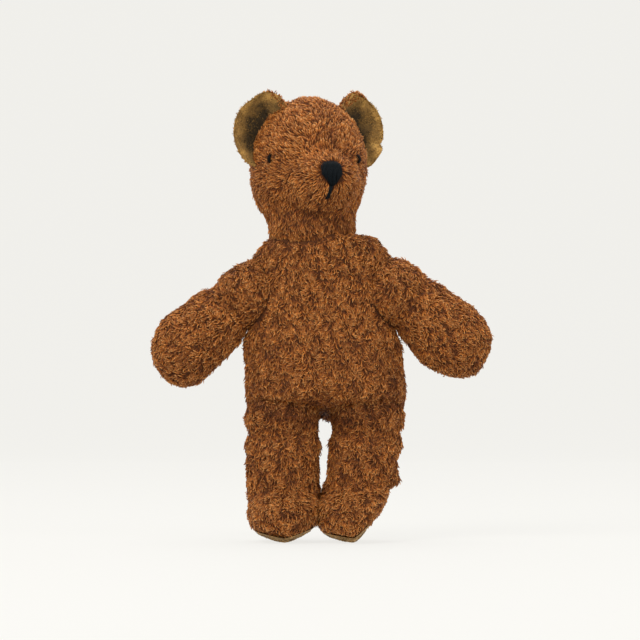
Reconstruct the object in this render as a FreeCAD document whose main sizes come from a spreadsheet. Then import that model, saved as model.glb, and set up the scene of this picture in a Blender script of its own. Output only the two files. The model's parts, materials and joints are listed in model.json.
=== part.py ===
import FreeCAD, Part
import os

# A sewn, stuffed teddy bear: head, torso, two arms and two legs, each a cloth cover round a filling.
# Millimetres, +Z up. The bear faces -Y and stands on its soles at Z = 0; +X is its own left side.
# Head, arms and legs end in a ball that sits in a socket of the torso, with a wad of filling at its
# centre, so each flexes two ways about one point.

os.makedirs("parts", exist_ok=True)
doc = FreeCAD.newDocument("TeddyBear")

SIZES = {
    "cloth": 3.0,               # thickness of the plush cover, pile included
    "gap": 0.4,                 # clearance between pieces that move past each other
    "seam_width": 1.2,          # width of the stitched rim round each socket
    "neck_x": -5.5,             # flex point of the neck
    "neck_z": 211.0,
    "neck_ball": 28.0,
    "neck_wad": 12.0,
    "shoulder_x": 46.0,         # flex point of each shoulder, to the side
    "shoulder_z": 167.0,
    "shoulder_ball": 22.5,
    "hip_x": 27.2,              # flex point of each hip, to the side of the pelvis
    "pelvis_shift": 3.3,        # how far the stuffed pelvis lies to the left
    "left_leg_slant": 8.6,      # how far each foot stands inside its hip
    "right_leg_slant": 0.5,
    "hip_z": 88.0,
    "hip_ball": 23.0,
    "limb_wad": 10.0,
    "seat_slope": 27.5,         # slope of the torso's underside, up towards the front
    "cranium_wide": 38.5,       # half sizes of the skull, and its centre from the neck
    "cranium_deep": 38.5,
    "cranium_tall": 47.0,
    "cranium_back": 6.5,
    "cranium_rise": 38.5,
    "muzzle_wide": 26.0,        # half sizes of the muzzle, and its centre from the neck
    "muzzle_deep": 25.0,
    "muzzle_tall": 22.0,
    "muzzle_front": 20.5,
    "muzzle_rise": 28.0,
    "gusset_half": 12.0,        # half width of the head's centre strip
    "ear_wide": 18.5,           # half sizes of the ear's oval
    "ear_tall": 26.0,
    "ear_deep": 9.0,
    "ear_cloth": 2.5,
    "ear_side": 34.5,           # centre of the ear from the neck
    "ear_rise": 64.0,
    "ear_back": 2.0,
    "nose_wide": 14.6,
    "nose_tall": 18.4,
    "nose_thick": 1.8,
    "nose_rise": 34.4,
    "mouth_long": 8.0,
    "mouth_wide": 1.8,
    "mouth_rise": 20.6,
    "eye_wide": 1.6,            # half sizes of an eye stitch
    "eye_tall": 3.2,
    "eye_rise": 43.5,
    "hand_wide": 22.8,          # half sizes of the rounded paw, and its centre along the arm
    "hand_deep": 17.6,
    "hand_tall": 23.0,
    "foot_wide": 22.2,          # half sizes of the foot, and its centre
    "foot_deep": 34.0,
    "foot_tall": 22.0,
    "foot_high": 15.0,
    "foot_front": 10.0,
    "sole_thick": 5.0,
    "stitch_long": 5.0,
    "stitch_radius": 1.2,
    "stitch_first": 118.0,
    "stitch_step": 8.0,
}

# Oval rings that a stuffed tube runs through: height, half width, half depth, shift to the side.
TORSO_RINGS = {
    "crotch": (70.0, 35.0, 22.0, 3.0),
    "seat": (77.0, 46.0, 28.0, 3.3),
    "rump": (87.0, 52.0, 31.5, 3.5),
    "hips": (99.0, 53.3, 33.0, 3.6),
    "belly": (113.0, 52.6, 33.0, 3.4),
    "waist": (128.0, 48.8, 32.0, 2.2),
    "ribs": (146.0, 45.0, 31.0, 0.8),
    "chest": (165.0, 44.0, 30.5, 0.0),
    "bust": (180.0, 44.0, 30.0, 0.2),
    "yoke": (190.0, 43.3, 29.3, 0.6),
    "collar": (198.0, 39.3, 28.5, 1.2),
    "top": (203.5, 34.0, 27.0, 0.8),
}
ARM_RINGS = {
    "root": (14.0, 15.0, 13.5, 0.0),
    "upper": (23.0, 19.3, 16.0, 0.0),
    "middle": (34.0, 21.8, 17.3, 0.0),
    "lower": (46.0, 22.6, 17.6, 0.0),
    "wrist": (58.5, 22.8, 17.6, 0.0),
}
# A leg's last value is the share of its slant that it has reached there.
LEG_RINGS = {
    "root": (-14.0, 15.0, 14.0, 0.0),
    "groin": (-20.0, 20.0, 17.5, 0.05),
    "thigh": (-27.0, 23.6, 20.3, 0.12),
    "upper": (-34.0, 24.2, 21.2, 0.28),
    "knee": (-49.0, 23.2, 21.5, 0.5),
    "shin": (-60.0, 22.0, 21.0, 0.75),
    "ankle": (-72.0, 19.0, 18.0, 0.95),
}
PART_RINGS = {"torso": TORSO_RINGS, "arm": ARM_RINGS, "leg": LEG_RINGS}
RING_WORDS = ("high", "wide", "deep", "side")
for part, rings in PART_RINGS.items():
    for ring, values in rings.items():
        for word, value in zip(RING_WORDS, values):
            SIZES[f"{part}_{ring}_{word}"] = value

HEAD_TURN = 17.5                # degrees that the head is turned to the bear's left
ARM_DROOP = {"left": 37.0, "right": 42.0}    # degrees below level
EYE_BEARING = {"left": 40.0, "right": -59.0}  # degrees from the nose, as seen from above
EAR_TURN = 20.0                 # degrees that each ear's mouth turns outwards
EAR_LEAN = 12.0                 # degrees that the top of each ear leans towards the crown
SIDES = {"left": 1, "right": -1}
STITCH_COUNT = 8
SIDE_SEAM = 2.0                 # the side seams lie this far behind the middle of each tube
BIG = 700.0                     # larger than the bear, for the solids that halve others
GROWN = "0"                     # a tube at full size

sheet = doc.addObject("Spreadsheet::Sheet", "Sizes")
for row, (alias, value) in enumerate(SIZES.items(), start=1):
    sheet.set(f"A{row}", alias)
    sheet.set(f"B{row}", str(value))
    sheet.setAlias(f"B{row}", alias)
doc.recompute()

FILLING = "-Sizes.cloth"        # a tube inside the cloth


def bind(thing, rules):
    """Ties each named property of thing to an expression on the sheet."""
    for name, rule in rules.items():
        thing.setExpression(name, rule)
    return thing


def primitive(kind, name, rules, centre=()):
    """One of the basic solids, with its sizes and its centre tied to the sheet."""
    thing = doc.addObject(kind, name)
    bind(thing, rules)
    places = ("Placement.Base.x", "Placement.Base.y", "Placement.Base.z")
    return bind(thing, dict(zip(places, centre)))


def ball(name, radius, centre=()):
    """A sphere."""
    return primitive("Part::Sphere", name, {"Radius": radius}, centre)


def egg(name, half_wide, half_deep, half_tall, centre=()):
    """An ellipsoid, by its half sizes along X, Y and Z."""
    sizes = {"Radius1": half_tall, "Radius2": half_wide, "Radius3": half_deep}
    return primitive("Part::Ellipsoid", name, sizes, centre)


def block(name, size, corner):
    """A box, by its size and lowest corner in millimetres; it only halves other solids."""
    thing = doc.addObject("Part::Box", name)
    thing.Length, thing.Width, thing.Height = size
    thing.Placement.Base = FreeCAD.Vector(*corner)
    return thing


def boolean(kind, name, base, tool):
    """The Part::Cut or Part::Common of two solids."""
    thing = doc.addObject(kind, name)
    thing.Base = base
    thing.Tool = tool
    thing.Refine = False
    return thing


def cut(name, base, tool):
    """What is left of base outside tool."""
    return boolean("Part::Cut", name, base, tool)


def common(name, base, tool):
    """What base and tool share."""
    return boolean("Part::Common", name, base, tool)


def fuse(name, shapes):
    """One solid out of several."""
    thing = doc.addObject("Part::MultiFuse", name)
    thing.Shapes = shapes
    thing.Refine = False
    return thing


def tube(name, part, grow, slant="1"):
    """The stuffed tube through a part's rings; grow is added to every half size, and slant
    multiplies every shift to the side."""
    rings = []
    for ring in PART_RINGS[part]:
        size = f"Sizes.{part}_{ring}"
        oval = primitive(
            "Part::Ellipse",
            f"{name}_{ring}",
            {"MajorRadius": f"{size}_wide + ({grow})", "MinorRadius": f"{size}_deep + ({grow})"},
            (f"{slant} * {size}_side", "0", f"{size}_high"),
        )
        rings.append(oval)
    thing = doc.addObject("Part::Loft", name)
    thing.Sections = rings
    thing.Solid = True
    return thing


def placed(thing, placement):
    """Moves a finished piece from its own frame to its place on the bear."""
    thing.Placement = placement
    return thing


NODES = []


def node(thing, label, placement=None):
    """Marks a piece as a sub-part of the bear, under the name of its file."""
    thing.Label = label
    if placement is not None:
        placed(thing, placement)
    NODES.append(thing)
    return thing


def turned(axis, degrees, base=(0, 0, 0)):
    """A placement that turns about an axis and then moves to base."""
    return FreeCAD.Placement(FreeCAD.Vector(*base), FreeCAD.Rotation(FreeCAD.Vector(*axis), degrees))


X_AXIS, Y_AXIS, Z_AXIS = (1, 0, 0), (0, 1, 0), (0, 0, 1)
front_half = block("FrontHalf", (BIG, BIG, BIG), (-BIG / 2, SIDE_SEAM - BIG, -BIG / 2))
back_half = block("BackHalf", (BIG, BIG, BIG), (-BIG / 2, SIDE_SEAM, -BIG / 2))
left_half = block("LeftHalf", (BIG, BIG, BIG), (0, -BIG / 2, -BIG / 2))
right_half = block("RightHalf", (BIG, BIG, BIG), (-BIG, -BIG / 2, -BIG / 2))


# ---------------------------------------------------------------- torso
JOINT_CENTRES = {
    "neck": ("neck_ball", ("Sizes.neck_x", "0", "Sizes.neck_z")),
    "left_shoulder": ("shoulder_ball", ("Sizes.shoulder_x", "0", "Sizes.shoulder_z")),
    "right_shoulder": ("shoulder_ball", ("-Sizes.shoulder_x", "0", "Sizes.shoulder_z")),
    "left_hip": ("hip_ball", ("Sizes.pelvis_shift + Sizes.hip_x", "0", "Sizes.hip_z")),
    "right_hip": ("hip_ball", ("Sizes.pelvis_shift - Sizes.hip_x", "0", "Sizes.hip_z")),
}


def below_seat(name, rise):
    """Everything under the torso's sloping underside, raised by rise at the hip line."""
    thing = block(name, (BIG, BIG, BIG), (0, 0, 0))
    slope = FreeCAD.Rotation(FreeCAD.Vector(*X_AXIS), -sheet.get("seat_slope"))
    hip_line = FreeCAD.Vector(0, 0, sheet.get("hip_z") + rise)
    thing.Placement = FreeCAD.Placement(hip_line, slope)
    corner = FreeCAD.Vector(-BIG / 2, -BIG / 2, -BIG)
    thing.Placement = thing.Placement.multiply(FreeCAD.Placement(corner, FreeCAD.Rotation()))
    return thing


def make_torso():
    """Three cover panels, the filling, five seam rims and the closing stitches of the back."""
    full = cut("TorsoFull", tube("TorsoTube", "torso", GROWN), below_seat("UnderSeat", 0))
    core_tube = tube("TorsoCoreTube", "torso", FILLING)
    core = cut("TorsoCore", core_tube, below_seat("UnderCore", sheet.get("cloth")))
    sockets = {}
    rims = {}
    for joint, (radius, centre) in JOINT_CENTRES.items():
        sockets[joint] = ball(f"Socket_{joint}", f"Sizes.{radius} + Sizes.gap", centre)
        rims[joint] = ball(f"Rim_{joint}", f"Sizes.{radius} + Sizes.gap + Sizes.seam_width", centre)
    all_sockets = fuse("AllSockets", list(sockets.values()))
    all_rims = fuse("AllRims", list(rims.values()))
    node(cut("TorsoStuffing", core, all_sockets), "torso_stuffing")
    cover = cut("TorsoCover", full, core)
    for joint in JOINT_CENTRES:
        edge = common(f"Edge_{joint}", cover, rims[joint])
        node(cut(f"Seam_{joint}", edge, sockets[joint]), f"{joint}_seam")
    open_cover = cut("OpenCover", cover, all_rims)
    node(common("TorsoFront", open_cover, front_half), "torso_front_panel")
    back = common("TorsoBack", open_cover, back_half)
    node(common("TorsoBackLeft", back, left_half), "torso_back_left_panel")
    node(common("TorsoBackRight", back, right_half), "torso_back_right_panel")
    make_closing_stitches(full)


def make_closing_stitches(full):
    """A ladder of short stitches across the seam down the middle of the back."""
    radius, length = sheet.get("stitch_radius"), sheet.get("stitch_long")
    back_surface = sheet.get("torso_ribs_deep")
    bars = []
    for index in range(STITCH_COUNT):
        height = sheet.get("stitch_first") + index * sheet.get("stitch_step")
        start = FreeCAD.Vector(-length / 2, back_surface + radius / 2, height)
        bars.append(Part.makeCylinder(radius, length, start, FreeCAD.Vector(*X_AXIS)))
    ladder = doc.addObject("Part::Feature", "StitchBars")
    ladder.Shape = Part.makeCompound(bars)
    node(cut("ClosingStitches", ladder, full), "back_closing_stitches")


# ---------------------------------------------------------------- limbs
def make_covered_limb(prefix, name, full, core, placement):
    """Front and back panel, and the filling with its hollow at the flex point."""
    hollow = ball(f"{prefix}Hollow", "Sizes.limb_wad + Sizes.gap")
    cover = cut(f"{prefix}Cover", full, core)
    node(common(f"{prefix}Front", cover, front_half), f"{name}_front_panel", placement)
    node(common(f"{prefix}Back", cover, back_half), f"{name}_back_panel", placement)
    node(cut(f"{prefix}Stuffing", core, hollow), f"{name}_stuffing", placement)


def make_arm(side, sign):
    """An arm, made along its own +Z from the shoulder's flex point."""
    prefix = f"{side.title()}Arm"
    shoulder = (sign * sheet.get("shoulder_x"), 0, sheet.get("shoulder_z"))
    droop = sign * (90 + ARM_DROOP[side])
    solids = []
    for word, grow in (("Full", GROWN), ("Core", FILLING)):
        hand = egg(
            f"{prefix}Hand{word}",
            f"Sizes.hand_wide + ({grow})",
            f"Sizes.hand_deep + ({grow})",
            f"Sizes.hand_tall + ({grow})",
            ("0", "0", "Sizes.arm_wrist_high"),
        )
        root = ball(f"{prefix}Root{word}", f"Sizes.shoulder_ball + ({grow})")
        sleeve = tube(f"{prefix}Tube{word}", "arm", grow)
        solids.append(fuse(f"{prefix}{word}", [root, sleeve, hand]))
    placement = turned(Y_AXIS, droop, shoulder)
    make_covered_limb(prefix, f"{side}_arm", *solids, placement)
    make_wad(f"{side}_shoulder", "limb_wad")


def make_wad(joint, radius):
    """The gathered filling at a joint's flex point."""
    node(ball(f"Wad_{joint}", f"Sizes.{radius}", JOINT_CENTRES[joint][1]), f"{joint}_wad")


def make_leg(side, sign):
    """A leg with its foot, made from the hip's flex point downwards."""
    prefix = f"{side.title()}Leg"
    hip = (sheet.get("pelvis_shift") + sign * sheet.get("hip_x"), 0, sheet.get("hip_z"))
    slant = f"{-sign} * Sizes.{side}_leg_slant"
    placement = FreeCAD.Placement(FreeCAD.Vector(*hip), FreeCAD.Rotation())
    floor = -sheet.get("hip_z")
    thick = sheet.get("sole_thick")
    under = block(f"{prefix}Under", (BIG, BIG, BIG), (-BIG / 2, -BIG / 2, floor - BIG))
    under_seam = block(f"{prefix}UnderSeam", (BIG, BIG, BIG), (-BIG / 2, -BIG / 2, floor + thick - BIG))
    solids = []
    for word, grow in (("Full", GROWN), ("Core", FILLING)):
        foot = egg(
            f"{prefix}Foot{word}",
            f"Sizes.foot_wide + ({grow})",
            f"Sizes.foot_deep + ({grow})",
            f"Sizes.foot_tall + ({grow})",
            (slant, "-Sizes.foot_front", "Sizes.foot_high - Sizes.hip_z"),
        )
        root = ball(f"{prefix}Root{word}", f"Sizes.hip_ball + ({grow})")
        column = tube(f"{prefix}Tube{word}", "leg", grow, slant)
        solids.append(fuse(f"{prefix}{word}", [root, column, foot]))
    full, core = solids
    standing = cut(f"{prefix}Standing", full, under)
    node(common(f"{prefix}Sole", standing, under_seam), f"{side}_sole", placement)
    covered = cut(f"{prefix}Covered", full, under_seam)
    filled = cut(f"{prefix}Filled", core, under_seam)
    make_covered_limb(prefix, f"{side}_leg", covered, filled, placement)
    make_wad(f"{side}_hip", "limb_wad")


# ---------------------------------------------------------------- head
def head_solid(word, grow):
    """Skull, muzzle and neck ball in one, round the neck's flex point."""
    skull = egg(
        f"Cranium{word}",
        f"Sizes.cranium_wide + ({grow})",
        f"Sizes.cranium_deep + ({grow})",
        f"Sizes.cranium_tall + ({grow})",
        ("0", "Sizes.cranium_back", "Sizes.cranium_rise"),
    )
    neck = ball(f"NeckBall{word}", f"Sizes.neck_ball + ({grow})")
    return fuse(f"Head{word}", [skull, muzzle(word, grow), neck])


def muzzle(word, grow):
    """The rounded snout."""
    return egg(
        f"Muzzle{word}",
        f"Sizes.muzzle_wide + ({grow})",
        f"Sizes.muzzle_deep + ({grow})",
        f"Sizes.muzzle_tall + ({grow})",
        ("0", "-Sizes.muzzle_front", "Sizes.muzzle_rise"),
    )


def make_head():
    """Two side panels, the gusset, the filling, ears and the embroidered face."""
    neck = (sheet.get("neck_x"), 0, sheet.get("neck_z"))
    placement = turned(Z_AXIS, HEAD_TURN, neck)
    full = head_solid("Full", GROWN)
    core = head_solid("Core", FILLING)
    cover = cut("HeadCover", full, core)
    half = sheet.get("gusset_half")
    nose = sheet.get("nose_rise")
    crown = block("CrownStrip", (2 * half, BIG, BIG), (-half, -BIG / 2, nose))
    nape = block("NapeStrip", (2 * half, BIG, BIG), (-half, 0, -BIG / 2))
    strip = fuse("GussetStrip", [crown, nape])
    node(common("HeadGusset", cover, strip), "head_gusset", placement)
    cheeks = cut("HeadCheeks", cover, strip)
    node(common("HeadLeft", cheeks, left_half), "head_left_panel", placement)
    node(common("HeadRight", cheeks, right_half), "head_right_panel", placement)
    hollow = ball("HeadHollow", "Sizes.neck_wad + Sizes.gap")
    node(cut("HeadStuffing", core, hollow), "head_stuffing", placement)
    make_wad("neck", "neck_wad")
    for side, sign in SIDES.items():
        make_ear(side, sign, full, placement)
        make_eye(side, full, placement)
    make_nose(full, placement)
    make_mouth(full, placement)


def make_ear(side, sign, full, placement):
    """A cupped ear: a plush back and a smooth lining, both sewn to the side of the skull."""
    prefix = f"{side.title()}Ear"
    base = (sign * sheet.get("ear_side"), sheet.get("ear_back"), sheet.get("ear_rise"))
    turn = FreeCAD.Rotation(FreeCAD.Vector(*Z_AXIS), sign * EAR_TURN)
    lean = FreeCAD.Rotation(FreeCAD.Vector(*Y_AXIS), -sign * EAR_LEAN)
    stance = FreeCAD.Placement(FreeCAD.Vector(*base), turn.multiply(lean))
    cups = []
    for word, layers in (("Outer", 0), ("Middle", 1), ("Inner", 2)):
        less = f"{layers} * Sizes.ear_cloth"
        cup = egg(
            f"{prefix}{word}",
            f"Sizes.ear_wide - {less}",
            f"Sizes.ear_deep - {less}",
            f"Sizes.ear_tall - {less}",
        )
        cups.append(cup)
    outer, middle, inner = cups
    for word, label, larger, smaller in (
        ("Back", f"{side}_ear_back", outer, middle),
        ("Lining", f"{side}_ear_lining", middle, inner),
    ):
        layer = cut(f"{prefix}{word}Layer", larger, smaller)
        cup = common(f"{prefix}{word}Cup", layer, back_half)
        placed(cup, stance)
        node(cut(f"{prefix}{word}", cup, full), label, placement)


def make_eye(side, full, placement):
    """A small upright stitch that stands a little proud of the cheek."""
    bearing = EYE_BEARING[side]
    outward = FreeCAD.Rotation(FreeCAD.Vector(*Z_AXIS), bearing).multVec(FreeCAD.Vector(0, -1, 0))
    wide, deep = sheet.get("cranium_wide"), sheet.get("cranium_deep")
    reach = ((outward.x / wide) ** 2 + (outward.y / deep) ** 2) ** -0.5
    centre = FreeCAD.Vector(0, sheet.get("cranium_back"), sheet.get("eye_rise")) + outward * reach
    stitch = egg(f"{side.title()}EyeStitch", "Sizes.eye_wide", "Sizes.eye_wide", "Sizes.eye_tall")
    stitch.Placement = FreeCAD.Placement(centre, FreeCAD.Rotation(FreeCAD.Vector(*Z_AXIS), bearing))
    node(cut(f"{side.title()}Eye", stitch, full), f"{side}_eye", placement)


def face_layer(name):
    """The thin skin of thread height over the muzzle."""
    return muzzle(name, "Sizes.nose_thick")


def origin_plane(body, role):
    """One of a body's own origin planes."""
    return next(plane for plane in body.Origin.OriginFeatures if plane.Role == role)


def make_nose(full, placement):
    """A shield of satin stitch, flat on top and pointed below, that follows the muzzle."""
    body = doc.addObject("PartDesign::Body", "NoseShield")
    sketch = body.newObject("Sketcher::SketchObject", "NoseOutline")
    sketch.AttachmentSupport = (origin_plane(body, "XZ_Plane"), [""])
    sketch.MapMode = "FlatFace"
    half = sheet.get("nose_wide") / 2
    top = sheet.get("nose_rise") + sheet.get("nose_tall") / 2
    shoulder = top - half
    point = top - sheet.get("nose_tall")
    corners = [(-half, top), (half, top), (half, shoulder), (0, point), (-half, shoulder)]
    for start, end in zip(corners, corners[1:] + corners[:1]):
        line = Part.LineSegment(FreeCAD.Vector(*start, 0), FreeCAD.Vector(*end, 0))
        sketch.addGeometry(line, False)
    pad = body.newObject("PartDesign::Pad", "NosePad")
    pad.Profile = sketch
    bind(pad, {"Length": "Sizes.muzzle_front + 2 * Sizes.muzzle_deep"})
    doc.recompute()
    if body.Shape.BoundBox.YMin > -half:
        pad.Reversed = True
    shield = common("NoseLayer", face_layer("NoseThread"), body)
    node(cut("Nose", shield, full), "nose_embroidery", placement)


def make_mouth(full, placement):
    """One long upright stitch under the nose."""
    wide, tall = sheet.get("mouth_wide"), sheet.get("mouth_long")
    low = sheet.get("mouth_rise") - tall / 2
    bar = block("MouthBar", (wide, BIG, tall), (-wide / 2, -BIG, low))
    thread = common("MouthLayer", face_layer("MouthThread"), bar)
    node(cut("Mouth", thread, full), "mouth_stitch", placement)


make_torso()
for side, sign in SIDES.items():
    make_arm(side, sign)
    make_leg(side, sign)
make_head()
doc.recompute()

for thing in doc.Objects:
    if "Invalid" in thing.State or "Error" in thing.State:
        raise RuntimeError(f"{thing.Name} failed: {thing.State}")
for thing in NODES:
    if thing.Shape.isNull() or not thing.Shape.isValid():
        raise RuntimeError(f"{thing.Label} has no valid shape")
for thing in NODES:
    thing.Shape.exportStep(f"parts/{thing.Label}.step")
    box = thing.Shape.optimalBoundingBox()
    spans = " ".join(
        f"{low:.1f}..{high:.1f}"
        for low, high in ((box.XMin, box.XMax), (box.YMin, box.YMax), (box.ZMin, box.ZMax))
    )
    print(f"{thing.Label}: {len(thing.Shape.Solids)} solid, {thing.Shape.Volume:.0f} mm3, {spans}")
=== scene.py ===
import json
import math

import bmesh
import bpy
import numpy as np
from mathutils import Matrix, Vector
from mathutils.bvhtree import BVHTree


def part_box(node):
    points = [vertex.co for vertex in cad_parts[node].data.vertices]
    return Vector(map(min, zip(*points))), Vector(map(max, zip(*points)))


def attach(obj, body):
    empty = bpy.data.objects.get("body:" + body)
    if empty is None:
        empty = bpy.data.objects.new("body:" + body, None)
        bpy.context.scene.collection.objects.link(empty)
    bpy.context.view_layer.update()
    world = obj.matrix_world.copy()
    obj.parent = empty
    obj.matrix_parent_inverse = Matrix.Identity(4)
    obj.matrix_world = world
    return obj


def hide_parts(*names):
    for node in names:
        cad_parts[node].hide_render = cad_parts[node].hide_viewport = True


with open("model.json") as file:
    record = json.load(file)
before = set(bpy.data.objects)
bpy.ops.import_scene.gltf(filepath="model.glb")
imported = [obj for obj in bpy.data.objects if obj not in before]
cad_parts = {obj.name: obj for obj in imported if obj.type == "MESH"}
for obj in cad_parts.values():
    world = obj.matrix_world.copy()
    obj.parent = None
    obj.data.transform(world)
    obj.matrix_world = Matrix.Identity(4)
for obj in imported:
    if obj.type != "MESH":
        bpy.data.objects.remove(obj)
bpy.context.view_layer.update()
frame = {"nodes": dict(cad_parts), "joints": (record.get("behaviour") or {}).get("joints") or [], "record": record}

# A sewn, stuffed teddy bear of curly rust-brown pile. Each stuffed part is a cloth skin that lies just
# inside the CAD cover, with thousands of curled strands standing on it. Metres, +Z up;
# the bear faces -Y and its own left side is +X. Sizes below are in millimetres where they end in MM.

SEED = 11
UP = np.array([0.0, 0.0, 1.0])
MM = 0.001
SIDES = {"left": 1.0, "right": -1.0}
BODIES = ("torso", "head", "left_arm", "right_arm", "left_leg", "right_leg")

VOXEL = 3.0 * MM                # remesh size of the skins
SKIN_DEPTH = 0.3 * MM           # how far a skin lies inside the cover's outer surface
SOCKET_GAP = 0.8 * MM           # room between a limb's ball and its socket in the torso skin

PIVOTS = {j["child"]: Vector(j["pos_m"]) for j in frame["joints"]}
NECK = PIVOTS["head"]
NOD_AXIS = next(j["axis"] for j in frame["joints"] if j["child"] == "head")
record_bodies = frame["record"]["behaviour"]["bodies"]


# ---------------------------------------------------------------- meshes and arrays

def placed(name, data):
    """A new object in the scene that shows a mesh, a light or a camera."""
    thing = bpy.data.objects.new(name, data)
    bpy.context.scene.collection.objects.link(thing)
    return thing


def new_piece(name, points, faces):
    """A smooth-shaded mesh object from lists of points and faces."""
    mesh = bpy.data.meshes.new(name)
    mesh.from_pydata([tuple(p) for p in points], [], [tuple(f) for f in faces])
    mesh.update()
    mesh.shade_smooth()
    return placed(name, mesh)


def applied(piece):
    """Applies every modifier of the piece to its mesh."""
    graph = bpy.context.evaluated_depsgraph_get()
    mesh = bpy.data.meshes.new_from_object(piece.evaluated_get(graph))
    piece.modifiers.clear()
    old = piece.data
    piece.data = mesh
    mesh.name = piece.name
    bpy.data.meshes.remove(old)
    return piece


def remeshed(piece, size):
    """Makes the piece one closed shell, evenly meshed."""
    remesh = piece.modifiers.new("Remesh", "REMESH")
    remesh.mode = "VOXEL"
    remesh.voxel_size = size
    return applied(piece)


def rows_of(items, field, width, kind=float):
    """An array with one row for each item, from a field that holds width numbers."""
    flat = np.empty(len(items) * width, kind)
    items.foreach_get(field, flat)
    return flat.reshape(-1, width)


def points_of(mesh):
    return rows_of(mesh.vertices, "co", 3)


def normals_of(mesh):
    return rows_of(mesh.vertex_normals, "vector", 3)


def set_points(mesh, points):
    mesh.vertices.foreach_set("co", np.ascontiguousarray(points).ravel())
    mesh.update()


def mean_of_neighbours(values, edges):
    """For each point, the mean of the values at the other ends of its edges."""
    ends = np.concatenate([edges[:, 0], edges[:, 1]])
    others = np.concatenate([edges[:, 1], edges[:, 0]])
    count = np.maximum(np.bincount(ends, minlength=len(values)), 1)
    sums = [np.bincount(ends, values[others, k], minlength=len(values)) for k in range(3)]
    return np.stack(sums, axis=1) / count[:, None]


def relax(mesh, times, share=0.6):
    """Smooths a mesh without shrinking it much, by a step in and a slightly smaller step out."""
    points, edges = points_of(mesh), rows_of(mesh.edges, "vertices", 2, int)
    for _ in range(times):
        for step in (share, -share * 0.93):
            points = points + step * (mean_of_neighbours(points, edges) - points)
    set_points(mesh, points)


def unit(vectors):
    return vectors / np.maximum(np.linalg.norm(vectors, axis=-1, keepdims=True), 1e-12)


def waves(points, size, seed, count=14):
    """Smooth random numbers from about -1 to 1 over space, with features of about the given size."""
    rng = np.random.default_rng(seed)
    ways = unit(rng.normal(size=(count, 3))) * (2 * math.pi / size)
    ways *= rng.uniform(0.6, 1.3, (count, 1))
    phases = rng.uniform(0, 2 * math.pi, count)
    return np.sin(points @ ways.T + phases).sum(axis=1) / math.sqrt(count)


def bump(points, centre, reach):
    """1 at the centre, falling smoothly to 0 about twice the reach away. Reach has one size per axis."""
    away = (points - np.asarray(centre)) / np.asarray(reach)
    return np.exp(-(away ** 2).sum(axis=1))


# ---------------------------------------------------------------- materials

def srgb(code):
    """Linear colour of a hexadecimal screen colour."""
    parts = [int(code[i:i + 2], 16) / 255 for i in (0, 2, 4)]
    return [p / 12.92 if p <= 0.04045 else ((p + 0.055) / 1.055) ** 2.4 for p in parts] + [1.0]


class Nodes:
    """Short names for the nodes that the materials share."""

    def __init__(self, name):
        self.material = bpy.data.materials.new(name)
        self.material.use_nodes = True
        self.tree = self.material.node_tree
        self.shader = self.tree.nodes["Principled BSDF"]

    def link(self, source, target):
        self.tree.links.new(source, target)

    def make(self, kind, **settings):
        node = self.tree.nodes.new(kind)
        for key, value in settings.items():
            setattr(node, key, value)
        return node

    def place(self):
        """Where a point of the piece is, in metres."""
        return self.make("ShaderNodeTexCoord").outputs["Object"]

    def noise(self, size, detail=3.0, stretch=(1, 1, 1)):
        """Noise with features of the given size in metres."""
        mapping = self.make("ShaderNodeMapping")
        mapping.inputs["Scale"].default_value = stretch
        self.link(self.place(), mapping.inputs["Vector"])
        node = self.make("ShaderNodeTexNoise")
        node.inputs["Scale"].default_value = 1 / size
        node.inputs["Detail"].default_value = detail
        self.link(mapping.outputs["Vector"], node.inputs["Vector"])
        return node.outputs["Fac"]

    def ramp(self, value, stops):
        """Colours by value: stops are (position, hexadecimal colour)."""
        node = self.make("ShaderNodeValToRGB")
        elements = node.color_ramp.elements
        while len(elements) < len(stops):
            elements.new(0.5)
        for element, (position, code) in zip(elements, stops):
            element.position = position
            element.color = srgb(code)
        self.link(value, node.inputs["Fac"])
        return node.outputs["Color"]

    def maths(self, operation, a, b):
        node = self.make("ShaderNodeMath", operation=operation)
        for socket, value in zip(node.inputs, (a, b)):
            if isinstance(value, (int, float)):
                socket.default_value = value
            else:
                self.link(value, socket)
        return node.outputs[0]

    def bump(self, height, strength, distance):
        node = self.make("ShaderNodeBump")
        node.inputs["Strength"].default_value = strength
        node.inputs["Distance"].default_value = distance
        self.link(height, node.inputs["Height"])
        self.link(node.outputs["Normal"], self.shader.inputs["Normal"])

    def finish(self, roughness, sheen=0.0, sheen_colour="ffffff"):
        self.shader.inputs["Roughness"].default_value = roughness
        self.shader.inputs["Specular IOR Level"].default_value = 0.25
        self.shader.inputs["Sheen Weight"].default_value = sheen
        self.shader.inputs["Sheen Roughness"].default_value = 0.5
        self.shader.inputs["Sheen Tint"].default_value = srgb(sheen_colour)
        return self.material


STRAND_MAP = "OFBake"           # a strand's colours lie on this map: tone across, root to tip upwards
TONES = 32                      # how many columns of tone the map has


def pile_material(name, dark_stops, pale_stops):
    """Pile: each strand runs from a dark root to a pale tip, and its column sets its tone; the darkening towards
    the root is painted shade deep in the pile.
    """
    n = Nodes(name)
    split = n.make("ShaderNodeSeparateXYZ")
    n.link(n.make("ShaderNodeUVMap", uv_map=STRAND_MAP).outputs["UV"], split.inputs["Vector"])
    tone, along = split.outputs["X"], split.outputs["Y"]
    dark = n.ramp(along, dark_stops)
    pale = n.ramp(along, pale_stops)
    mix = n.make("ShaderNodeMix", data_type="RGBA")
    n.link(tone, mix.inputs["Factor"])
    n.link(dark, mix.inputs[6])
    n.link(pale, mix.inputs[7])
    n.link(mix.outputs[2], n.shader.inputs["Base Color"])
    return n.finish(0.5, 0.08, "e09050")


def backing_material():
    """The knitted cloth that the pile stands on, dark because the pile shades it."""
    n = Nodes("plush_backing")
    n.link(n.ramp(n.noise(2.5 * MM), [(0.3, "341806"), (0.7, "5c3210")]), n.shader.inputs["Base Color"])
    n.bump(n.noise(0.9 * MM), 0.6, 0.5 * MM)
    return n.finish(0.9)


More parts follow.
